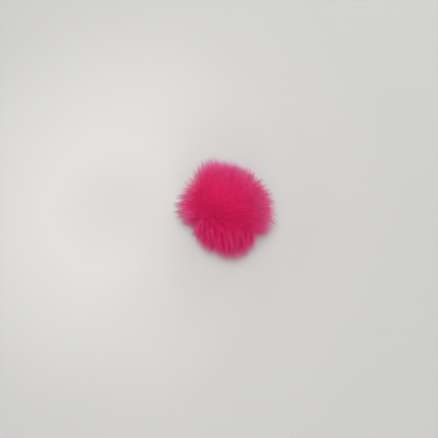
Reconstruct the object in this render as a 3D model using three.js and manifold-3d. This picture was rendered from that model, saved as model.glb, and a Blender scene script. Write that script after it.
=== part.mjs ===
// Faux fur pom-pom lying on a flat surface: a stuffed ball of fur cloth whose long pile falls from a
// parting near the crown into uneven tufts, and whose lowest locks lie with their tips on the surface.
// Millimetres, +Z up. The origin is on the surface, under the crown and the middle of the pile's outline.
// +Y is the back, where the pile leans away from the parting, and -Y the front.
import * as THREE from "three";
import { mergeVertices } from "three/addons/utils/BufferGeometryUtils.js";
import Module from "manifold-3d";

const wasm = await Module();
wasm.setup();
const { degToRad, euclideanModulo, lerp, radToDeg, smoothstep } = THREE.MathUtils;

// Driving dimensions of the pile
const pileReach = 41; // from the crown's axis to the pile's edge, before the tufts
const pileHeight = 61.5;
const widestLevel = 15; // height at which the pile reaches furthest
const floorReach = 0.9; // share of the outline that the lowest edge of the pile keeps

// The stuffed ball of ground cloth that the pile is rooted in, and the flat spot under it
const groundRadius = 21;
const groundLevel = 27; // height of the ball's centre
const flatSpotRadius = 8;
const groundSides = 24;
const groundSteps = 7;

// Tufts stand out from the outline and notches part them.
// azimuth and spread in degrees, from +X towards +Y; gain in mm of reach
const tufts = [
  { name: "right tuft", azimuth: 345, spread: 21, gain: 3.2 },
  { name: "flat shoulder", azimuth: 42, spread: 26, gain: -1 },
  { name: "back tuft", azimuth: 111, spread: 19, gain: 6 },
  { name: "back notch", azimuth: 141, spread: 8, gain: -1.2 },
  { name: "left tuft", azimuth: 177, spread: 17, gain: 4.2 },
  { name: "left notch", azimuth: 210, spread: 12, gain: -4.8 },
  { name: "front skirt", azimuth: 282, spread: 24, gain: 5.2 },
  { name: "front notch", azimuth: 316, spread: 9, gain: -5.6 },
];
const tuftPull = 1.3; // degrees that locks lean towards a tuft, for each mm of its gain

// The parting, from which the pile leans away: it winds across the front of the crown, left end first.
// right and back are turns of the roots from the crown, in degrees
const partingPath = [
  { right: -64, back: -4 },
  { right: -34, back: -30 },
  { right: -14, back: -39 },
  { right: 21, back: -34 },
  { right: 55, back: -40 },
];
const partingSteps = 24;
const partingBlur = 20; // degrees beside the parting over which the lean grows
const partingDepth = 0.06; // share by which the pile beside it is shorter
const leanBack = 16; // degrees by which the pile behind it leans away, at its most
const leanFront = 7; // and the pile before it
const leanChange = 0.4; // share of the way across, either way, over which one lean becomes the other
const leanFade = { from: 20, to: 150 }; // degrees from the crown over which the lean dies away

// Locks of pile
const lockCount = 256;
const lockSides = 4;
const lockSteps = 3;
const lowestRoot = 146; // degrees from the crown to the last row of roots
const edgeRoot = 108; // degrees from the crown to the roots whose tips make the lowest edge
const pressedReach = 13; // how far out the tips of the last row lie, pressed under the ball
const rootSunk = 3; // how deep a lock's root goes into the ball
const rootWidth = 0.4; // half a lock's width at its root, as a share of the roots' spacing
const crownBelly = 0.66; // and at its belly, on the crown
const edgeBelly = 0.58; // and at its belly, on the pile's lowest edge
const edgeFlatness = 0.75; // a lock's thickness there, as a share of its width
const bellyAt = 0.55; // share of the lock's length at which its belly lies
const bellyRoom = 0.54; // most of the gap to the next lock that half the belly takes up
const gapsAt = [0.5, 0.6, 0.7, 0.8]; // shares of the locks' lengths between which that gap is measured
const bendAt = 0.55; // share of the lock's length that stands out before it falls
const bendLean = 0.5; // how far that part already leans the way the tip does
const unevenLength = 0.1; // share by which a lock may be shorter than the pile

// Sizes worked out from those above
const upperHeight = pileHeight - widestLevel;
const edgeFall = radToDeg(Math.acos(floorReach)); // degrees by which the pile's edge turns in to the surface
const rootedShare = (1 - Math.cos(degToRad(lowestRoot))) / 2; // of the ball's face
const spacing = groundRadius * Math.sqrt((4 * Math.PI * rootedShare) / lockCount);
const goldenAngle = 180 * (3 - Math.sqrt(5));
const partingMarks = partingPath.map(({ right, back }) => new THREE.Vector2(right, back));
const partingPoints = new THREE.SplineCurve(partingMarks).getSpacedPoints(partingSteps);
const mergeWithin = 1e-4;

// A fixed spread of values from 0 to 1, one for each lock
function unevenness(index) {
  return (index * Math.SQRT2) % 1;
}

// How far an azimuth lies from a tuft, in spreads of that tuft
function spreadsFrom(tuft, azimuth) {
  return (euclideanModulo(azimuth - tuft.azimuth + 180, 360) - 180) / tuft.spread;
}

// The pile's reach at an azimuth, seen from above
function outline(azimuth) {
  return tufts.reduce(
    (reach, tuft) => reach + tuft.gain * Math.exp(-(spreadsFrom(tuft, azimuth) ** 2)),
    pileReach,
  );
}

// Locks lean towards tufts and away from notches
function combed(azimuth) {
  return tufts.reduce((turned, tuft) => {
    const off = spreadsFrom(tuft, azimuth);
    return turned - tuftPull * tuft.gain * off * Math.exp(-off * off);
  }, azimuth);
}

// A point at an azimuth, a distance out from the crown's axis and a height
function placeAt(azimuth, out, level) {
  return new THREE.Vector3(out * Math.cos(degToRad(azimuth)), out * Math.sin(degToRad(azimuth)), level);
}

// The tip of an even lock: on the dome of the pile, on its lowest edge, or pressed under the ball
function evenTip(azimuth, polar, length) {
  const turned = combed(azimuth);
  const reach = outline(turned);
  if (polar >= edgeRoot) {
    const pressed = (polar - edgeRoot) / (lowestRoot - edgeRoot);
    return placeAt(turned, lerp(reach * floorReach, pressedReach, pressed), 0);
  }
  const rise = 90 - (polar / edgeRoot) * (90 + edgeFall);
  const sine = Math.sin(degToRad(rise));
  const fallen = sine / Math.sin(degToRad(edgeFall));
  const level = widestLevel + (rise > 0 ? upperHeight * sine : widestLevel * fallen);
  const middle = new THREE.Vector3(0, 0, groundLevel);
  const even = placeAt(turned, reach * Math.cos(degToRad(rise)), level);
  return even.sub(middle).multiplyScalar(length).add(middle);
}

// Where the tip of a lock turns to, away from the parting, and the share of its length that it has there
function leaned(azimuth, polar) {
  const place = new THREE.Vector2(Math.cos(degToRad(azimuth)), Math.sin(degToRad(azimuth)));
  place.multiplyScalar(polar);
  const nearest = partingPoints.reduce((best, point) =>
    place.distanceTo(point) < place.distanceTo(best) ? point : best,
  );
  const apart = place.distanceTo(nearest) / partingBlur;
  const away = place.clone().sub(nearest).normalize();
  const lean = lerp(leanFront, leanBack, smoothstep(away.y, -leanChange, leanChange));
  const kept = 1 - smoothstep(polar, leanFade.from, leanFade.to);
  place.addScaledVector(away, lean * kept * (1 - Math.exp(-apart)));
  return {
    azimuth: radToDeg(place.angle()),
    polar: place.length(),
    length: 1 - partingDepth * Math.exp(-apart * apart),
  };
}

// The direction out of the ball's centre at an azimuth and a turn from the crown
function outward(azimuth, polar) {
  return placeAt(azimuth, Math.sin(degToRad(polar)), Math.cos(degToRad(polar)));
}

// A lock: the line along which it stands out of the ball and falls, points of that line from which gaps
// to its neighbours are measured, the way round the ball across it, and how low it is rooted
function lockAt(index) {
  const rooted = (index + 0.5) / lockCount;
  const polar = radToDeg(Math.acos(1 - 2 * rootedShare * rooted));
  const azimuth = (index * goldenAngle) % 360;
  const turned = leaned(azimuth, polar);
  const out = outward(azimuth, polar);
  const root = out.clone().multiplyScalar(groundRadius - rootSunk);
  root.z += groundLevel;
  const tip = evenTip(turned.azimuth, turned.polar, turned.length * (1 - unevenLength * unevenness(index)));
  const bend = out.lerp(outward(turned.azimuth, turned.polar), bendLean);
  bend.setLength(bendAt * tip.distanceTo(root)).add(root);
  const fall = new THREE.QuadraticBezierCurve3(root, bend, tip);
  return {
    fall,
    points: gapsAt.map((share) => fall.getPoint(share)),
    round: placeAt(turned.azimuth + 90, 1, 0),
    lowness: Math.min(1, polar / edgeRoot),
  };
}

// The least gap between two locks
function gapBetween(lock, other) {
  return Math.min(...lock.points.flatMap((point) => other.points.map((beside) => point.distanceTo(beside))));
}

// Half the width of a lock's belly: less where its neighbours leave it little room
function bellyOf(lock, locks) {
  const others = locks.filter((other) => other !== lock);
  const room = bellyRoom * Math.min(...others.map((other) => gapBetween(lock, other)));
  return Math.min(room, spacing * lerp(crownBelly, edgeBelly, lock.lowness));
}

// Half a lock's width at a share of its length: a leaf that swells to its belly and ends in a point
function lockWidth(share, belly) {
  if (share < bellyAt) return lerp(spacing * rootWidth, belly, share / bellyAt);
  return belly * Math.sqrt(Math.max(0, 1 - ((share - bellyAt) / (1 - bellyAt)) ** 2));
}

// One lock: a closed cone of few sides, bent along its fall
function lockGeometry(lock, locks) {
  const belly = bellyOf(lock, locks);
  const thickness = lerp(1, edgeFlatness, lock.lowness);
  const geometry = new THREE.ConeGeometry(1, 1, lockSides, lockSteps);
  const places = geometry.getAttribute("position");
  for (let i = 0; i < places.count; i += 1) {
    const along = places.getY(i) + 0.5;
    const face = lock.fall.getTangent(along).cross(lock.round).normalize();
    const turn = Math.atan2(places.getX(i), places.getZ(i));
    const onAxis = Math.hypot(places.getX(i), places.getZ(i)) === 0;
    const width = onAxis ? 0 : lockWidth(along, belly);
    const place = lock.fall.getPoint(along);
    place.addScaledVector(lock.round, width * Math.cos(turn));
    place.addScaledVector(face, width * thickness * Math.sin(turn));
    places.setXYZ(i, place.x, place.y, place.z);
  }
  return geometry;
}

// The stuffed ball, drawn down to the flat spot that it rests on
function groundGeometry() {
  const profile = [new THREE.Vector2(0, 0), new THREE.Vector2(flatSpotRadius, 0)];
  for (let step = 1; step < groundSteps; step += 1) {
    const polar = degToRad(lowestRoot * (1 - step / groundSteps));
    const level = groundLevel + groundRadius * Math.cos(polar);
    profile.push(new THREE.Vector2(groundRadius * Math.sin(polar), level));
  }
  profile.push(new THREE.Vector2(0, groundLevel + groundRadius));
  return new THREE.LatheGeometry(profile, groundSides).rotateX(Math.PI / 2);
}

// A closed three.js geometry as a solid that can be joined
function solidOf(geometry) {
  const bare = geometry.clone();
  bare.deleteAttribute("normal");
  bare.deleteAttribute("uv");
  const merged = mergeVertices(bare, mergeWithin);
  const mesh = new wasm.Mesh({
    numProp: 3,
    vertProperties: merged.getAttribute("position").array,
    triVerts: new Uint32Array(merged.index.array),
  });
  return new wasm.Manifold(mesh);
}

// A joined solid back as a three.js geometry
function geometryOf(solid) {
  const mesh = solid.getMesh();
  const geometry = new THREE.BufferGeometry();
  geometry.setAttribute("position", new THREE.BufferAttribute(mesh.vertProperties, 3));
  geometry.setIndex(new THREE.BufferAttribute(mesh.triVerts, 1));
  geometry.computeVertexNormals();
  return geometry;
}

const furMaterial = new THREE.MeshStandardMaterial({ color: 0xd0205c, roughness: 0.9, metalness: 0 });

const locks = Array.from({ length: lockCount }, (_, index) => lockAt(index));
let furSolid = solidOf(groundGeometry());
for (const lock of locks) furSolid = furSolid.add(solidOf(lockGeometry(lock, locks)));

const furBall = new THREE.Mesh(geometryOf(furSolid), furMaterial);
furBall.name = "fur_ball";

const pompom = new THREE.Group();
pompom.add(furBall);

export default pompom;
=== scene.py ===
# Hot pink faux fur pom-pom: a stuffed ball with long pile, lying on a pale table
import math

import bpy
import numpy as np
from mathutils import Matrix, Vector


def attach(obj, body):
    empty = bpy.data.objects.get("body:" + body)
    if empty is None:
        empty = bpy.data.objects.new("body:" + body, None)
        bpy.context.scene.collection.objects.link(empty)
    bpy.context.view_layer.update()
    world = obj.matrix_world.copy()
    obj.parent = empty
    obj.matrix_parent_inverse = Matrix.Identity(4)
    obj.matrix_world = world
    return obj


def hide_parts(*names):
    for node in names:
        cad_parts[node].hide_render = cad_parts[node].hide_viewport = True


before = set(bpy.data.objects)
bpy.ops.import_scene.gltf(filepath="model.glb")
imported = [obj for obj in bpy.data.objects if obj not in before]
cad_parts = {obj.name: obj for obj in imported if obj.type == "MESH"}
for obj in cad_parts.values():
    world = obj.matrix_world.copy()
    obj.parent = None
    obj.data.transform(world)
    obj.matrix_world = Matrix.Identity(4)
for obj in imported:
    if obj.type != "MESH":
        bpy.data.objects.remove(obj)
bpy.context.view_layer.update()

rng = np.random.default_rng(14)
furNode = "fur_ball"
furMapName = "OFBake"
print("frame loaded:", sorted(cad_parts))

# The ball of ground cloth that the pile is rooted in
ball = {
    "radius": 0.021,
    "level": 0.027,          # height of its centre
    "flatSpot": 0.008,       # radius of the spot it rests on
    "segments": 64,
    "rings": 32,
    "sloped": 0.5,           # share of its bottom that slopes down to the flat spot
    "pucker": 0.0004,        # depth of the gathers round the flat spot
    "gathers": 14,
    "onAxis": 1e-9,          # distance from its axis within which a point stays there
    "weld": 0.00001,         # points nearer to each other than this are joined
    "fill": 0.85,
}
middle = np.array([0, 0, ball["level"]])

# How the pile falls. Lengths in metres, turns in degrees from the crown
pile = {
    "reach": 0.0414,         # crown's axis to the pile's edge, before the tufts
    "height": 0.0615,
    "widest": 0.015,         # height at which it reaches furthest
    "floorShare": 0.9,       # of the outline, kept by the edge that lies on the table
    "edgeRoot": 122.0,       # turn to the roots of that edge
    "lowestRoot": 150.0,     # turn to the last roots
    "pressedReach": 0.013,   # how far out the tips of those lie, under the ball
    "bend": 0.55,            # share of a fibre that stands out before it falls
    "combed": 0.5,           # how far that part already leans the way the tip does
    "lowestLean": 120.0,     # turn past which it leans no lower
    "tuftPull": 1100.0,      # lean towards a tuft, for each metre of its gain
    "rootSunk": 0.0006,
    "longest": 1.16,         # share of the pile's reach that the longest hairs have
    "pale": (0.68, 1.20),    # how far up its colours a tip ends, on the crown and at the sides: paler at the sides, as painted light on the rim
    "paleTurns": (30.0, 85.0),    # turns over which the one passes into the other
    "paintedShadeFront": 0.34,       # share by which tips that face the front end lower in their colours, as painted shade on the front
    "evenFront": 0.7,        # share by which wisps that face it gather and reach less
    "evenFrom": (-0.15, 0.2),     # how far their roots face it, where that begins and is full
    "crownTurns": (25.0, 65.0),   # turns over which the crown ends
}

# Tufts stand out of the outline, notches part them. Azimuth 0 is to the right, 90 to the back
tufts = [
    {"azimuth": 338, "spread": 23, "gain": 0.0054},    # right tuft
    {"azimuth": 49, "spread": 18, "gain": -0.0026},    # flat shoulder behind it
    {"azimuth": 91, "spread": 33, "gain": 0.0032},     # even back edge
    {"azimuth": 111, "spread": 19, "gain": 0.0060},    # back tuft
    {"azimuth": 141, "spread": 8, "gain": -0.0012},    # back notch
    {"azimuth": 184, "spread": 18, "gain": 0.0045},    # left tuft
    {"azimuth": 209, "spread": 9, "gain": -0.0060},    # left notch
    {"azimuth": 230, "spread": 10, "gain": -0.0014},   # left side of the skirt
    {"azimuth": 281, "spread": 25, "gain": 0.0058},    # front skirt
    {"azimuth": 318, "spread": 8, "gain": -0.0056},    # front notch
]

# The parting winds across the front of the crown, left end first.
# Its points are turns of the roots from the crown, to the right and to the back
parting = {
    "path": [(-84, 30), (-64, 22), (-48, 8), (-32, -12), (-14, -31),
             (4, -37), (24, -35), (50, -38), (76, -48)],
    "ends": 35.0,            # turn over which it opens and closes at its ends
    "blur": 30.0,            # turn over which the lean beside it grows
    "band": 21.0,            # turn over which the pile itself is different beside it
    "mixed": 6.0,            # turn within which fibres may fall to either side
    "leanBack": 17.0,        # lean of the pile behind it, at its most
    "leanFront": 7.0,        # and of the pile before it
    "fade": (20.0, 130.0),   # turns from the crown over which the lean dies away
    "leanAll": (12.0, 7.0),  # lean of the crown's whole pile, to the right and to the back
    "fadeAll": (30.0, 85.0),      # turns over which that lean dies away
    "depth": 0.02,           # share by which the pile beside it is shorter
    "deep": 0.05,            # and by which its tips end lower in their colours, as painted shade in the crease
    "thicker": 1.0,          # share of further fibres there, since they fan out
    "tousled": 0.0065,       # how far tips there stray, so that they close over the parting
    "proud": 1.04,           # share of their own reach that straying tips keep to
}

# Hollows where the tips are pressed in, at turns of the tips to the right and to the back
hollows = {
    "places": [(-27, 1), (-16, -14), (-4, -20), (10, -19), (33, -15), (30, -38)],
    "spread": 8.0,
    "depth": 0.005,          # share by which the pile is lower there
    "deep": 0.08,            # and by which its tips end lower in their colours, as painted shade in the hollows
}

# Locks gather the fibres sideways into wisps
locks = {
    "count": 1300,
    "shake": 0.02,           # of their directions
    "uneven": 0.09,          # share by which a lock may be shorter than the pile
    "hold": (0.65, 1.0),     # how well locks gather
    "tones": (0.95, 1.05),   # how far up their colours a lock's tips end
    "batches": 24,           # fibres look for their locks in this many batches, to spare memory
}

# The front, where the pile hangs straight down in strands
front = {
    "azimuth": 270.0,
    "spread": (38.0, 62.0),  # turns from there over which it ends
    "from": (22.0, 52.0),    # turns from the crown over which it begins
    "hang": 0.8,             # how straight down it hangs, instead of outward all round
    "pale": 0.91,            # how far up its colours a tip ends, of what it would be: deeper, as painted shade on the hanging front
    "sooner": 13.0,          # turn by which its tips are paler nearer to the crown, taking the painted light of the sides sooner
    "across": 0.0049,        # from strand to strand
    "wander": 0.9,           # how far strands wind to and fro
    "ripple": 0.005,         # and over what length
    "breakRate": 1.3,        # breaks of a strand, for each of its windings
    "breakShift": 2.4,       # shift of the breaks from strand to strand
    "pull": 0.65,            # how well strands gather
    "lower": 0.05,           # share by which the pile between them is lower
    "deep": 0.5,             # and by which its tips end lower in their colours, as painted shade between the strands
    "edge": (66.0, 90.0),    # turns over which they come loose, so that the edge is even
    "loose": 0.95,
    "paintedLightEdge": 0.22,        # share by which the tips of that edge are paler again, as painted light on the rim
}

# Slow waves that make the pile fall unevenly
waves = {
    "count": 7,
    "sway": 3.2,             # turn of the tips, in degrees
    "across": 60.0,          # degrees from wave to wave
}


def lerp(a, b, share):
    return a + (b - a) * share


def smoothRise(value, low, high):
    share = np.clip((value - low) / (high - low), 0, 1)
    return share * share * (3 - 2 * share)


def unit(vectors):
    return vectors / np.linalg.norm(vectors, axis=-1, keepdims=True)


def spreadsFrom(tuft, azimuth):
    return ((azimuth - tuft["azimuth"] + 180) % 360 - 180) / tuft["spread"]


def outlineAt(azimuth):
    return pile["reach"] + sum(t["gain"] * np.exp(-spreadsFrom(t, azimuth) ** 2) for t in tufts)


def combedAzimuth(azimuth):
    turned = np.array(azimuth, float)
    for tuft in tufts:
        off = spreadsFrom(tuft, azimuth)
        turned -= pile["tuftPull"] * tuft["gain"] * off * np.exp(-off * off)
    return turned


def roundPoints(azimuth, out, level):
    turn = np.radians(azimuth)
    return np.stack([out * np.cos(turn), out * np.sin(turn), level + 0 * out], axis=1)


def polarOf(outs):
    return np.degrees(np.arccos(np.clip(outs[:, 2], -1, 1)))


def azimuthOf(outs):
    return np.degrees(np.arctan2(outs[:, 1], outs[:, 0])) % 360


# Directions spread evenly over the rooted part of the ball, shaken a little
def spreadRoots(count, shake):
    index = np.arange(count) + 0.5
    cosine = 1 - index / count * (1 - math.cos(math.radians(pile["lowestRoot"])))
    azimuth = index * 180 * (3 - math.sqrt(5))   # by the golden angle
    outs = roundPoints(azimuth, np.sqrt(1 - cosine ** 2), cosine)
    outs += rng.normal(0, shake, outs.shape)
    return outs / np.linalg.norm(outs, axis=1, keepdims=True)


waveWays = rng.uniform(0, 2 * math.pi, waves["count"])
wavePhases = rng.uniform(0, 2 * math.pi, (waves["count"], 2))


# Turns to the right and to the back
def turnsOf(outs):
    azimuth = np.radians(azimuthOf(outs))
    return polarOf(outs)[:, None] * np.stack([np.cos(azimuth), np.sin(azimuth)], axis=1)


# How far behind the parting places are, and how far it is open there
def fromParting(places):
    right, back = np.array(parting["path"], float).T
    behind = places[:, 1] - np.interp(places[:, 0], right, back)
    outside = np.maximum(right[0] - places[:, 0], places[:, 0] - right[-1])
    return behind, smoothRise(-outside, 0, parting["ends"])


def besideParting(places):
    behind, opened = fromParting(places)
    return opened * np.exp(-(behind / parting["band"]) ** 2)


# Where tips turn to: away from the parting, and swayed by the slow waves.
# Also what share of their reach they keep there, and what share of their colours, lowered as painted shade
# in the parting and the hollows
def leanedTurns(outs, mixed):
    polar, places = polarOf(outs), turnsOf(outs)
    loose = places + rng.normal(0, mixed, places.shape)
    behind, opened = fromParting(loose)
    kept = 1 - smoothRise(polar, *parting["fade"])
    lean = np.where(behind > 0, parting["leanBack"], -parting["leanFront"])
    lean *= (1 - np.exp(-np.abs(behind) / parting["blur"])) * opened * kept
    onCrown = 1 - smoothRise(polar, *parting["fadeAll"])
    turned = places + onCrown[:, None] * np.array(parting["leanAll"])
    turned[:, 1] += lean
    for way, phases in zip(waveWays, wavePhases):
        along = 2 * math.pi / waves["across"] * (places @ np.array([math.cos(way), math.sin(way)]))
        turned += waves["sway"] / math.sqrt(waves["count"]) * np.sin(along[:, None] + phases)
    beside = besideParting(loose) * kept
    pressed = sum(np.exp(-((turned - place) ** 2).sum(1) / hollows["spread"] ** 2)
                  for place in hollows["places"])
    pressed = np.minimum(1, pressed)
    low = parting["depth"] * beside + hollows["depth"] * pressed
    deep = parting["deep"] * beside + hollows["deep"] * pressed
    azimuth = np.degrees(np.arctan2(turned[:, 1], turned[:, 0]))
    return np.linalg.norm(turned, axis=1), azimuth, 1 - low, 1 - deep


# Tips of fibres: on the dome, on its lowest edge, or pressed under the ball
def pileTips(polar, azimuth, length):
    turned = combedAzimuth(azimuth % 360)
    reach = outlineAt(turned)
    edgeFall = math.acos(pile["floorShare"])
    rise = math.pi / 2 - polar / pile["edgeRoot"] * (math.pi / 2 + edgeFall)
    above = (pile["height"] - pile["widest"]) * np.sin(rise)
    below = pile["widest"] * np.sin(rise) / math.sin(edgeFall)
    domed = roundPoints(turned, reach * np.cos(rise), pile["widest"] + np.where(rise > 0, above, below))
    domed = middle + (domed - middle) * length[:, None]
    pressed = np.clip((polar - pile["edgeRoot"]) / (pile["lowestRoot"] - pile["edgeRoot"]), 0, 1)
    under = roundPoints(turned, lerp(reach * pile["floorShare"], pile["pressedReach"], pressed), 0.0)
    return np.where((polar < pile["edgeRoot"])[:, None], domed, under)


lockOuts = spreadRoots(locks["count"], locks["shake"])
lockShorts = rng.random(locks["count"])
lockHolds = rng.uniform(*locks["hold"], locks["count"])
lockReaches = rng.random(locks["count"])
lockTones = rng.uniform(*locks["tones"], locks["count"])
lockPolar, lockAzimuth, lockLow, _ = leanedTurns(lockOuts, 0)
lockTips = pileTips(lockPolar, lockAzimuth, (1 - locks["uneven"] * lockShorts) * lockLow)


def nearestLock(outs):
    batches = np.array_split(outs, locks["batches"])
    return np.concatenate([np.argmax(batch @ lockOuts.T, axis=1) for batch in batches])


# How far the pile hangs, instead of standing outward
def hangingFront(azimuth, polar):
    aside = np.abs((azimuth - front["azimuth"] + 180) % 360 - 180)
    return (1 - smoothRise(aside, *front["spread"])) * smoothRise(polar, *front["from"])


# Shift aside that gathers hanging tips into strands, and how deep between them they lie.
# Each strand is broken here and there along its fall
def strandPull(tips):
    down = tips[:, 1] / front["ripple"]
    along = 2 * math.pi / front["across"] * tips[:, 0] + front["wander"] * np.sin(down)
    strand = np.round(along / (2 * math.pi) - 0.5)
    broken = 0.5 + 0.5 * np.sin(down * front["breakRate"] + front["breakShift"] * strand)
    aside = -front["pull"] * front["across"] / (2 * math.pi) * np.sin(along)
    return np.stack([aside, (0.5 - 0.5 * np.cos(along)) * broken])


# Shares of the pile's reach: fibres in wisps reach out, the others are shorter
def fibreLengths(lock, inWisp, spiky, look):
    reached = look["longer"] * lockReaches[lock] * spiky
    wisp = lerp(look["wispFrom"], 1 + reached, rng.random(len(lock)))
    plain = 1 - look["shorter"] * rng.random(len(lock)) ** look["thinning"]
    return (1 - look["uneven"] * lockShorts[lock]) * np.where(inWisp, wisp, plain)


# How far up their colours tips end: paler at the sides than on the crown and in front, as painted light on
# the rim and painted shade on the front, and paler again along the front's lowest edge as painted light
def tipPaleness(polar, azimuth, hanging):
    pale = lerp(*pile["pale"], smoothRise(polar + front["sooner"] * hanging, *pile["paleTurns"]))
    facing = np.maximum(0, -np.sin(np.radians(azimuth))) * smoothRise(polar, *pile["paleTurns"])
    edge = hanging * smoothRise(polar, *front["edge"])
    return pale * (1 - pile["paintedShadeFront"] * facing) * (1 + front["paintedLightEdge"] * edge)


# Lines of fibres from the ball to their tips: an array of fibres by points by xyz.
# Also their slopes, and how far up the map each one ends
def fibreLines(outs, look):
    lock = nearestLock(outs)
    inWisp = rng.random(len(outs)) < look["wisps"]
    spiky = 1 - pile["evenFront"] * smoothRise(-outs[:, 1], *pile["evenFrom"])
    length = fibreLengths(lock, inWisp, spiky, look)
    polar, azimuth, low, deep = leanedTurns(outs, parting["mixed"])
    roots = outs * (ball["radius"] - pile["rootSunk"]) + middle

    # each fibre's own tip, drawn into a strand where the pile hangs
    own = pileTips(polar, azimuth, length * low)
    hanging = hangingFront(azimuth, polar)
    loose = 1 - front["loose"] * hanging * smoothRise(polar, *front["edge"])
    pull, gap = strandPull(own) * hanging ** 2 * loose
    own[:, 0] += pull
    own -= (own - middle) * (front["lower"] * gap)[:, None]
    # painted shade: tips between the strands and across the hanging front end lower in their colours
    deep *= (1 - front["deep"] * gap) * lerp(1, front["pale"], hanging)

    # drawn sideways into its lock, straying a little, and kept from standing proud
    along = unit(own - roots)
    drift = lockTips[lock] - own
    drift -= along * (drift * along).sum(1)[:, None]
    gather = lockHolds[lock] * np.where(inWisp, look["wispClump"] * spiky, look["clump"]) * loose
    stray = look["stray"] + parting["tousled"] * besideParting(turnsOf(outs)) * (1 - hanging)
    tips = own + drift * gather[:, None] + rng.normal(0, 1, own.shape) * stray[:, None]
    proud = np.linalg.norm(tips - middle, axis=1) / np.linalg.norm(own - middle, axis=1)
    tips = middle + (tips - middle) * np.minimum(1, parting["proud"] / proud)[:, None]

    # it stands out of the ball, then bends over to its tip
    fall = np.radians(np.minimum(polar, pile["lowestLean"]))
    leaned = roundPoints(azimuth, np.sin(fall), np.cos(fall))
    outward = unit(lerp(outs, leaned, pile["combed"]))
    reach = np.linalg.norm(tips - roots, axis=1)[:, None]
    bends = roots + outward * pile["bend"] * reach + rng.normal(0, look["frizz"], own.shape)
    bends[:, 0] = lerp(bends[:, 0], tips[:, 0], front["hang"] * hanging)
    share = lerp(*look["share"], smoothRise(polarOf(outs), *pile["crownTurns"]))
    up = np.array(look["shares"])[None, :, None] * share[:, None, None]
    lines = (1 - up) ** 2 * roots[:, None] + 2 * up * (1 - up) * bends[:, None] + up ** 2 * tips[:, None]
    slopes = (1 - up) * (bends - roots)[:, None] + up * (tips - bends)[:, None]
    lines[:, :, 2] = np.maximum(lines[:, :, 2], look["radius"])

    # how far up the map each tip ends: its own random tones, with the painted light of the rim and the
    # painted shade of the parting, hollows, strands and front
    pale = tipPaleness(polar, azimuth, hanging) * deep * lockTones[lock] * look["pale"]
    return lines, unit(slopes), share * np.minimum(1, pale * length / pile["longest"])


# What all the fibres share
fibre = {
    "sides": 3,
    "thickness": (0.75, 1.2),     # share of their radius that thin and thick ones have
    "toneFrom": 0.01,        # where tones begin, across the map
    "toneSpan": 0.97,
    "sideWidth": 1 / 512,    # of a side, across the map
    "rootRise": 0.02,        # of the face that closes the root, up the map
    "lowest": 0.00003,       # height above the table that all points keep
}


# Corners and map places of one fibre's faces: its root, its sides, and the tip they run into
def fibreFaces(shares):
    sides, rings = fibre["sides"], len(shares) - 1
    faces, places = [(0, 2, 1)], [((0, 0), (2, 0), (1, fibre["rootRise"]))]
    for ring in range(rings - 1):
        low, high = shares[ring], shares[ring + 1]
        for side in range(sides):
            a, b = ring * sides + side, ring * sides + (side + 1) % sides
            faces += [(a, b, b + sides), (a, b + sides, a + sides)]
            places += [((side, low), (side + 1, low), (side + 1, high)),
                       ((side, low), (side + 1, high), (side, high))]
    last = shares[rings - 1]
    for side in range(sides):
        a, b = (rings - 1) * sides + side, (rings - 1) * sides + (side + 1) % sides
        faces.append((a, b, rings * sides))
        places.append(((side, last), (side + 1, last), (side + 0.5, 1)))
    return np.array(faces), np.array(places)


# Closed fibres as one mesh. The map runs across in tone and up from root to tip
def fibreMesh(name, lines, slopes, ends, look):
    count, points = lines.shape[:2]
    sides, rings = fibre["sides"], points - 1
    anyWay = rng.normal(0, 1, (count, 1, 3))
    across = np.cross(slopes, anyWay)
    across /= np.linalg.norm(across, axis=2, keepdims=True)
    beside = np.cross(slopes, across)
    turn = np.arange(sides) * 2 * math.pi / sides
    thickness = rng.uniform(*fibre["thickness"], (count, 1, 1, 1))
    radius = look["radius"] * np.array(look["widths"])[None, :, None, None] * thickness
    spokes = (across[:, :rings, None] * np.cos(turn)[None, None, :, None]
              + beside[:, :rings, None] * np.sin(turn)[None, None, :, None])
    ringVerts = lines[:, :rings, None] + radius * spokes
    verts = np.concatenate([ringVerts.reshape(count, rings * sides, 3), lines[:, rings:]], axis=1)
    verts[:, :, 2] = np.maximum(verts[:, :, 2], fibre["lowest"])

    tone = rng.random(count) * fibre["toneSpan"] + fibre["toneFrom"]
    faces, places = fibreFaces(look["shares"])
    corner = (np.arange(count)[:, None, None] * verts.shape[1] + faces[None]).reshape(-1)
    mapU = tone[:, None, None] + places[None, :, :, 0] * fibre["sideWidth"]
    mapV = places[None, :, :, 1] * ends[:, None, None]

    mesh = bpy.data.meshes.new(name)
    mesh.vertices.add(count * verts.shape[1])
    mesh.vertices.foreach_set("co", verts.astype(np.float32).reshape(-1))
    mesh.loops.add(len(corner))
    mesh.loops.foreach_set("vertex_index", corner.astype(np.int32))
    mesh.polygons.add(len(corner) // 3)
    mesh.polygons.foreach_set("loop_start", np.arange(0, len(corner), 3, dtype=np.int32))
    mesh.polygons.foreach_set("use_smooth", np.ones(len(corner) // 3, dtype=bool))
    furMap = mesh.uv_layers.new(name=furMapName)
    furMap.uv.foreach_set("vector", np.stack([mapU, mapV], axis=3).astype(np.float32).reshape(-1))
    mesh.update(calc_edges=True)
    piece = bpy.data.objects.new(name, mesh)
    bpy.context.scene.collection.objects.link(piece)
    return piece


def dress(piece, material):
    piece.data.materials.clear()
    piece.data.materials.append(material)
    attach(piece, "root")
    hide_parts(furNode)


def newMaterial(name):
    material = bpy.data.materials.new(name)
    material.use_nodes = True
    nodes = material.node_tree.nodes
    return material, nodes, material.node_tree.links, nodes["Principled BSDF"]


def rampNode(nodes, stops):
    ramp = nodes.new("ShaderNodeValToRGB")
    first, *inner, last = stops
    for element, (at, color) in zip(ramp.color_ramp.elements, (first, last)):
        element.position, element.color = at, color
    for at, color in inner:
        ramp.color_ramp.elements.new(at).color = color
    return ramp


def rangeNode(nodes, ends):
    node = nodes.new("ShaderNodeMapRange")
    node.inputs["To Min"].default_value, node.inputs["To Max"].default_value = ends
    return node
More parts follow.
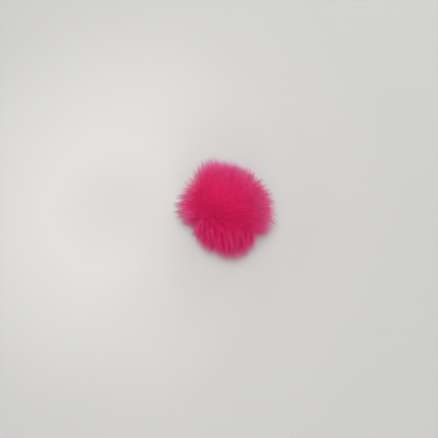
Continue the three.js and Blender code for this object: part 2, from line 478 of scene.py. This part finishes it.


# Dyed acrylic fibre, silkier at the tip, each fibre a little different. Deep at the root as painted shade
# deep in the pile, lighter at the tip as its own lighter tips with painted light glowing through them
furLook = {
    "colors": [(0.0, (0.80, 0.006, 0.086, 1)), (0.40, (0.82, 0.012, 0.147, 1)),
               (0.57, (0.95, 0.072, 0.308, 1)), (0.82, (1.0, 0.345, 0.632, 1))],   # up the fibre
    "tones": (0.945, 0.975),
    "roughness": (0.8, 0.6),      # at the root and at the tip
    "sheen": 0.06,
    "sheenRoughness": 0.45,
    "sheenTint": (1.0, 0.55, 0.72, 1),
    "specular": 0.12,
}


def furMaterial(name, look):
    material, nodes, links, shader = newMaterial(name)
    furMap = nodes.new("ShaderNodeUVMap")
    furMap.uv_map = furMapName
    split = nodes.new("ShaderNodeSeparateXYZ")
    ramp = rampNode(nodes, look["colors"])
    tone = rangeNode(nodes, look["tones"])
    shade = nodes.new("ShaderNodeHueSaturation")
    silk = rangeNode(nodes, look["roughness"])
    links.new(furMap.outputs["UV"], split.inputs["Vector"])
    links.new(split.outputs["Y"], ramp.inputs["Fac"])
    links.new(split.outputs["X"], tone.inputs["Value"])
    links.new(split.outputs["Y"], silk.inputs["Value"])
    links.new(ramp.outputs["Color"], shade.inputs["Color"])
    links.new(tone.outputs["Result"], shade.inputs["Value"])
    links.new(shade.outputs["Color"], shader.inputs["Base Color"])
    links.new(silk.outputs["Result"], shader.inputs["Roughness"])
    shader.inputs["Sheen Weight"].default_value = look["sheen"]
    shader.inputs["Sheen Roughness"].default_value = look["sheenRoughness"]
    shader.inputs["Sheen Tint"].default_value = look["sheenTint"]
    shader.inputs["Specular IOR Level"].default_value = look["specular"]
    return material


furFinish = furMaterial("pinkFur", furLook)

# The pile, in the parts that its tufts make. Each part has its roots between these turns.
# Fibres and wisps are drawn into their locks by clump and wispClump, and wisps reach longer. A part's pale
# makes its tips paler, as painted light on the back and the tufts
wholeRound = (0, 360)
levels = {"crown": (0, 42), "sides": (42, 112), "under": (112, 180)}
pileParts = [
    {"name": "crown_pile", "azimuth": wholeRound, "polar": levels["crown"],
     "clump": 0.0, "wispClump": 0.0, "longer": 0.05, "uneven": 0.015, "shorter": 0.4, "thinning": 0.7},
    {"name": "back_pile", "azimuth": (55, 148), "polar": levels["sides"],
     "clump": 0.12, "wispClump": 0.6, "longer": 0.05, "pale": 1.04},
    {"name": "left_tuft", "azimuth": (148, 232), "polar": levels["sides"],
     "clump": 0.12, "wispClump": 1.0, "longer": 0.11, "pale": 1.06},
    {"name": "front_skirt", "azimuth": (232, 322), "polar": levels["sides"],
     "clump": 0.3, "wispClump": 0.3, "longer": 0.0, "uneven": 0.02, "shorter": 0.45},
    {"name": "right_tuft", "azimuth": (322, 415), "polar": levels["sides"],
     "clump": 0.25, "wispClump": 1.0, "longer": 0.10, "pale": 1.04},
    {"name": "under_pile", "azimuth": wholeRound, "polar": levels["under"],
     "clump": 0.3, "wispClump": 0.5, "longer": 0.0},
]
# Values of all the parts that don't have their own
pileLook = {
    "count": 80000,
    "underKept": 0.5,        # share of the fibres kept under the ball
    "shake": 0.012,
    "shares": (0, 0.5, 1),   # where a fibre has its points
    "widths": (1, 0.9),
    "radius": 0.00009,
    "uneven": locks["uneven"],
    "shorter": 0.54,         # share by which a fibre may be shorter
    "thinning": 0.5,         # below 1, few fibres reach the full length
    "wisps": 0.20,           # share of the fibres that gather in longer wisps
    "wispFrom": 0.82,        # length of the shortest of those
    "stray": 0.0005,
    "frizz": 0.0006,
    "share": (1.0, 1.0),     # of a fibre's line that is built, on the crown and at the sides
    "pale": 1.0,
}


def between(turn, low, high):
    return (turn - low) % 360 < high - low


def makePile():
    outs = spreadRoots(pileLook["count"], pileLook["shake"])
    more = spreadRoots(pileLook["count"], pileLook["shake"])
    more = more[rng.random(len(more)) < parting["thicker"] * besideParting(turnsOf(more))]
    outs = np.concatenate([outs, more])
    polar, azimuth = polarOf(outs), azimuthOf(outs)
    kept = (polar < levels["under"][0]) | (rng.random(len(outs)) < pileLook["underKept"])
    for part in pileParts:
        inside = kept & (polar >= part["polar"][0]) & (polar < part["polar"][1])
        if part["azimuth"] != wholeRound:
            inside &= between(azimuth, *part["azimuth"])
        look = {**pileLook, **part}
        piece = fibreMesh(part["name"], *fibreLines(outs[inside], look), look)
        dress(piece, furFinish)
        print("pile:", part["name"], inside.sum(), "fibres,", len(piece.data.polygons), "triangles")


# Short dense fur between the long fibres
woolLook = {
    "count": 14000,
    "shake": 0.02,
    "shares": (0, 0.6, 1),
    "widths": (1, 0.9),
    "radius": 0.00022,
    "uneven": 0.03,
    "shorter": 0.3,
    "thinning": 1.0,
    "longer": 0.0,
    "wisps": 0.0,
    "wispFrom": 1.0,
    "wispClump": 0.0,
    "clump": 0.1,
    "stray": 0.0012,
    "frizz": 0.001,
    "share": (0.86, 0.66),
    "pale": 1.0,
    "kept": 0.6,             # share of the fibres kept at the sides
}


def makeWool():
    outs = spreadRoots(woolLook["count"], woolLook["shake"])
    kept = lerp(1, woolLook["kept"], smoothRise(polarOf(outs), *pile["crownTurns"]))
    outs = outs[rng.random(len(outs)) < kept]
    piece = fibreMesh("under_wool", *fibreLines(outs, woolLook), woolLook)
    dress(piece, furFinish)
    print("under wool:", len(outs), "fibres,", len(piece.data.polygons), "triangles")


# Stray hairs that stand out of the pile's edge
hairLook = {
    "count": 8000,
    "bareLocks": 0.5,        # share of the locks that have none
    "shake": 0.03,
    "polar": (35, 104),      # where they are rooted
    "evenEdges": [(192, 345), (58, 128)],   # azimuths of the edges that have few
    "evenKept": 0.0,         # share of the hairs kept there
    "shares": (0, 0.4, 0.75, 1),
    "widths": (1, 1, 0.8),
    "radius": 0.0001,
    "uneven": 0.0,
    "shorter": 0.1,
    "thinning": 1.0,
    "longer": 0.075,
    "wisps": 0.8,
    "wispFrom": 0.90,
    "wispClump": 1.1,
    "clump": 0.15,
    "stray": 0.0004,
    "frizz": 0.0014,
    "share": (1.0, 1.0),
    # deeper tips, as painted shade on the thin stray hairs
    "pale": 0.62,
}


def makeHairs():
    outs = spreadRoots(hairLook["count"], hairLook["shake"])
    polar, azimuth = polarOf(outs), azimuthOf(outs)
    even = np.any([between(azimuth, *ends) for ends in hairLook["evenEdges"]], axis=0)
    kept = np.where(even, hairLook["evenKept"], 1)
    rooted = (polar > hairLook["polar"][0]) & (polar < hairLook["polar"][1])
    reaching = lockReaches[nearestLock(outs)] > hairLook["bareLocks"]
    outs = outs[rooted & reaching & (rng.random(len(outs)) < kept)]
    piece = fibreMesh("stray_hairs", *fibreLines(outs, hairLook), hairLook)
    dress(piece, furFinish)
    print("stray hairs:", len(outs), "fibres,", len(piece.data.polygons), "triangles")


# Ground cloth: the knitted back that the pile is rooted in
clothLook = {
    "colors": [(0.0, (0.80, 0.010, 0.110, 1)), (1.0, (0.62, 0.005, 0.070, 1))],   # on and beside a stitch
    "stitches": 900.0,
    "bump": 0.5,
    "bumpDepth": 0.0003,
    "roughness": 0.9,
}


def clothMaterial(name, look):
    material, nodes, links, shader = newMaterial(name)
    place = nodes.new("ShaderNodeTexCoord")
    knit = nodes.new("ShaderNodeTexVoronoi")
    knit.inputs["Scale"].default_value = look["stitches"]
    ramp = rampNode(nodes, look["colors"])
    bump = nodes.new("ShaderNodeBump")
    bump.inputs["Strength"].default_value = look["bump"]
    bump.inputs["Distance"].default_value = look["bumpDepth"]
    links.new(place.outputs["Object"], knit.inputs["Vector"])
    links.new(knit.outputs["Distance"], ramp.inputs["Fac"])
    links.new(knit.outputs["Distance"], bump.inputs["Height"])
    links.new(ramp.outputs["Color"], shader.inputs["Base Color"])
    links.new(bump.outputs["Normal"], shader.inputs["Normal"])
    shader.inputs["Roughness"].default_value = look["roughness"]
    return material


# The ball's bottom is drawn down to the flat spot, and gathered round it
def drawDown(mesh):
    lowest = ball["level"] + ball["radius"] * math.cos(math.radians(pile["lowestRoot"]))
    rim = ball["radius"] * math.sin(math.radians(pile["lowestRoot"]))
    for vert in mesh.vertices:
        if vert.co.z >= lowest:
            continue
        down = (lowest - vert.co.z) / (lowest - ball["level"] + ball["radius"])
        drawn = min(1, down / ball["sloped"])
        if down < ball["sloped"]:
            wide = lerp(rim, ball["flatSpot"], drawn)
        else:
            wide = ball["flatSpot"] * (1 - down) / (1 - ball["sloped"])
        if down < 1:
            wide += ball["pucker"] * math.sin(math.atan2(vert.co.y, vert.co.x) * ball["gathers"]) * drawn
        out = math.hypot(vert.co.x, vert.co.y)
        if out > ball["onAxis"]:
            vert.co.x, vert.co.y = vert.co.x / out * wide, vert.co.y / out * wide
        vert.co.z = lerp(lowest, 0, drawn)


def makeBall():
    bpy.ops.object.select_all(action="DESELECT")
    bpy.ops.mesh.primitive_uv_sphere_add(segments=ball["segments"], ring_count=ball["rings"],
                                         radius=ball["radius"], location=(0, 0, ball["level"]))
    piece = bpy.context.object
    piece.name = "ground_ball"
    bpy.ops.object.transform_apply(location=True, rotation=True, scale=True)
    drawDown(piece.data)
    bpy.ops.object.mode_set(mode="EDIT")
    bpy.ops.mesh.select_all(action="SELECT")
    bpy.ops.mesh.remove_doubles(threshold=ball["weld"])
    bpy.ops.mesh.normals_make_consistent(inside=False)
    bpy.ops.object.mode_set(mode="OBJECT")
    bpy.ops.object.shade_smooth()
    dress(piece, clothMaterial("groundCloth", clothLook))
    print("ground ball:", len(piece.data.polygons), "faces")


makeBall()
makePile()
makeWool()
makeHairs()
meshes = [thing.data for thing in bpy.data.objects if thing.type == "MESH" and thing.name != furNode]
print("faces in all:", sum(len(mesh.polygons) for mesh in meshes))

# Pale table that sweeps up to a backdrop all round
floorLook = {
    "flatRadius": 0.6,
    "sweepRadius": 0.3,      # of the curve that turns it up
    "sweepSteps": 12,
    "segments": 96,
    "paintedLightFrom": (-0.10, 0.01, 0.0),   # place on the table that its painted pool of light is measured from
    "tones": [(0.03, (0.510, 0.508, 0.501, 1)), (0.07, (0.538, 0.535, 0.530, 1)),
              (0.13, (0.504, 0.502, 0.497, 1)), (0.19, (0.462, 0.460, 0.457, 1)),
              (0.27, (0.447, 0.446, 0.444, 1)), (0.8, (0.51, 0.507, 0.503, 1))],   # by metres from it: a painted pool of light that falls off outwards, with painted shadow where it passes before the ball, and lighter again far out on the backdrop
    "grain": 6.0,
    "grainShare": 0.03,
    "roughness": 0.7,
    "specular": 0.2,
}


def floorMaterial(name, look):
    material, nodes, links, shader = newMaterial(name)
    place = nodes.new("ShaderNodeTexCoord")
    away = nodes.new("ShaderNodeVectorMath")
    away.operation = "DISTANCE"
    away.inputs[1].default_value = look["paintedLightFrom"]
    grain = nodes.new("ShaderNodeTexNoise")
    grain.inputs["Scale"].default_value = look["grain"]
    speckled = nodes.new("ShaderNodeMath")
    speckled.operation = "MULTIPLY_ADD"
    speckled.inputs[1].default_value = look["grainShare"]
    ramp = rampNode(nodes, look["tones"])
    links.new(place.outputs["Object"], away.inputs[0])
    links.new(place.outputs["Object"], grain.inputs["Vector"])
    links.new(grain.outputs["Fac"], speckled.inputs[0])
    links.new(away.outputs["Value"], speckled.inputs[2])
    links.new(speckled.outputs["Value"], ramp.inputs["Fac"])
    links.new(ramp.outputs["Color"], shader.inputs["Base Color"])
    shader.inputs["Roughness"].default_value = look["roughness"]
    shader.inputs["Specular IOR Level"].default_value = look["specular"]
    return material


def makeFloor():
    bpy.ops.object.select_all(action="DESELECT")
    bpy.ops.mesh.primitive_circle_add(vertices=floorLook["segments"], radius=floorLook["flatRadius"],
                                      fill_type="TRIFAN", location=(0, 0, 0))
    floor = bpy.context.object
    floor.name = "table_top"
    # the rim is drawn out and up, step by step
    bpy.ops.object.mode_set(mode="EDIT")
    bpy.ops.mesh.select_all(action="SELECT")
    bpy.ops.mesh.region_to_loop()
    wide, high = floorLook["flatRadius"], 0.0
    for step in range(1, floorLook["sweepSteps"] + 1):
        turn = math.pi / 2 * step / floorLook["sweepSteps"]
        nextWide = floorLook["flatRadius"] + floorLook["sweepRadius"] * math.sin(turn)
        nextHigh = floorLook["sweepRadius"] * (1 - math.cos(turn))
        bpy.ops.mesh.extrude_edges_move(TRANSFORM_OT_translate={"value": (0, 0, nextHigh - high)})
        bpy.ops.transform.resize(value=(nextWide / wide, nextWide / wide, 1))
        wide, high = nextWide, nextHigh
    bpy.ops.object.mode_set(mode="OBJECT")
    bpy.ops.object.shade_smooth()
    floor.data.materials.append(floorMaterial("paleTable", floorLook))


makeFloor()


# Turn of a lamp or camera that looks back along a direction
def lookingBack(toward):
    return toward.to_track_quat("Z", "Y").to_euler()


# Soft light: a wide box overhead, a panel behind the ball, one behind and to the right, a fill in front
panels = [
    {"name": "softBox", "place": (-0.05, 0.01, 0.90), "aim": (-0.05, 0.01, 0), "size": 0.50, "watts": 5.67},
    {"name": "backPanel", "place": (0, 0.78, 0.32), "aim": (0, 0, 0), "size": 0.30, "watts": 0.9},
    {"name": "sidePanel", "place": (0.47, 0.62, 0.36), "aim": (0, 0, 0), "size": 0.30, "watts": 0.96},
    {"name": "frontFill", "place": (0.10, -1.00, 0.70), "aim": (0, 0, 0), "size": 0.60, "watts": 2.1},
]


def makeLights():
    for panel in panels:
        toward = Vector(panel["place"]) - Vector(panel["aim"])
        bpy.ops.object.light_add(type="AREA", location=panel["place"], rotation=lookingBack(toward))
        light = bpy.context.object
        light.name = panel["name"]
        light.data.shape = "DISK"
        light.data.size = panel["size"]
        light.data.energy = panel["watts"]


# The room's own light, brighter at the horizon than overhead
room = {
    "color": (1.0, 0.99, 0.98, 1),
    "horizon": 2.52,
    "zenith": 0.15,
    "band": (0.25, 0.75),    # heights over which the one passes into the other
}


def makeRoom():
    world = bpy.data.worlds.new("room")
    world.use_nodes = True
    nodes, links = world.node_tree.nodes, world.node_tree.links
    sky = nodes["Background"]
    sky.inputs["Color"].default_value = room["color"]
    place = nodes.new("ShaderNodeTexCoord")
    split = nodes.new("ShaderNodeSeparateXYZ")
    climb = rangeNode(nodes, (room["horizon"], room["zenith"]))
    climb.inputs["From Min"].default_value, climb.inputs["From Max"].default_value = room["band"]
    links.new(place.outputs["Generated"], split.inputs["Vector"])
    links.new(split.outputs["Z"], climb.inputs["Value"])
    links.new(climb.outputs["Result"], sky.inputs["Strength"])
    bpy.context.scene.world = world


makeLights()
makeRoom()

# Camera above the table, leaning a little to the front
view = {
    "elevation": 80.0,
    "distance": 0.45,
    "frameWidth": 0.368,     # what the picture spans at that distance
    "aim": (-0.0055, -0.0075, 0.015),
    "sensor": 36.0,          # in millimetres, as cameras have it
    "nearest": 0.01,         # distance from which it sees
}


def makeCamera():
    rise = math.radians(view["elevation"])
    toward = Vector((0, -math.cos(rise), math.sin(rise)))
    bpy.ops.object.camera_add(location=Vector(view["aim"]) + toward * view["distance"],
                              rotation=lookingBack(toward))
    camera = bpy.context.object
    camera.data.sensor_width = view["sensor"]
    camera.data.lens = view["sensor"] * view["distance"] / view["frameWidth"]
    camera.data.clip_start = view["nearest"]
    bpy.context.scene.camera = camera
    bpy.context.scene.view_settings.view_transform = "Standard"


makeCamera()
print("camera and lights set")

bpy.context.view_layer.update()
